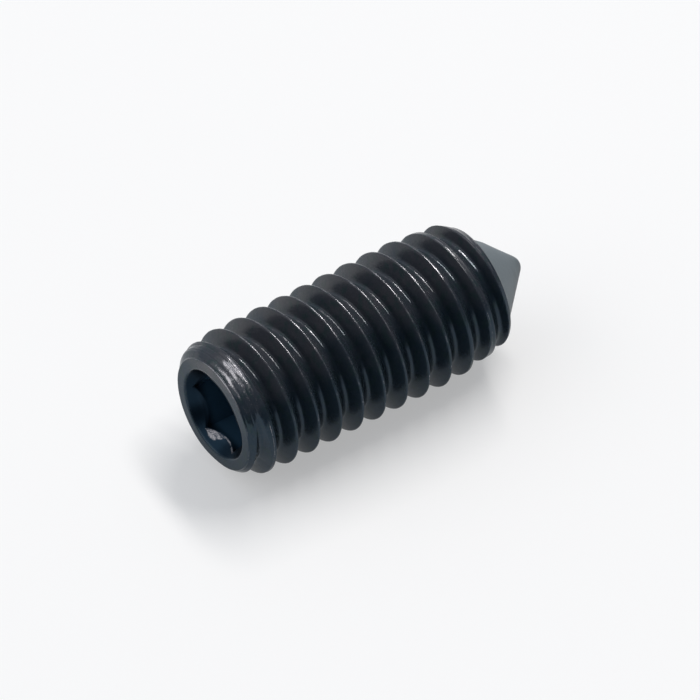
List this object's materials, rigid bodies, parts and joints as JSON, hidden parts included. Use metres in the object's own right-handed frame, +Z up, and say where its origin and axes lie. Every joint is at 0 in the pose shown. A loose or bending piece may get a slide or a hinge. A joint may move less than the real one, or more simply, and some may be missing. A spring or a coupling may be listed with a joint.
{
  "type": "grub screw",
  "caption": "Headless steel set screw with a full-length metric thread, a hexagon socket in one end and a cone point on the other, for locking a part onto a shaft.",
  "frame": {"origin": "on the surface that the screw lies on, below the middle of its length and of its width", "axes": "+X along the screw's axis from the socket face to the cone point, +Z up, away from the surface that it lies on"},
  "size_m": [0.0098, 0.004, 0.004],
  "materials": {
    "black_oxide_steel": "black oxide on hardened steel, satin, worn bright in streaks on the first thread"
  },
  "bodies": {
    "root": {"set_screw": "black_oxide_steel"}
  },
  "joints": []
}
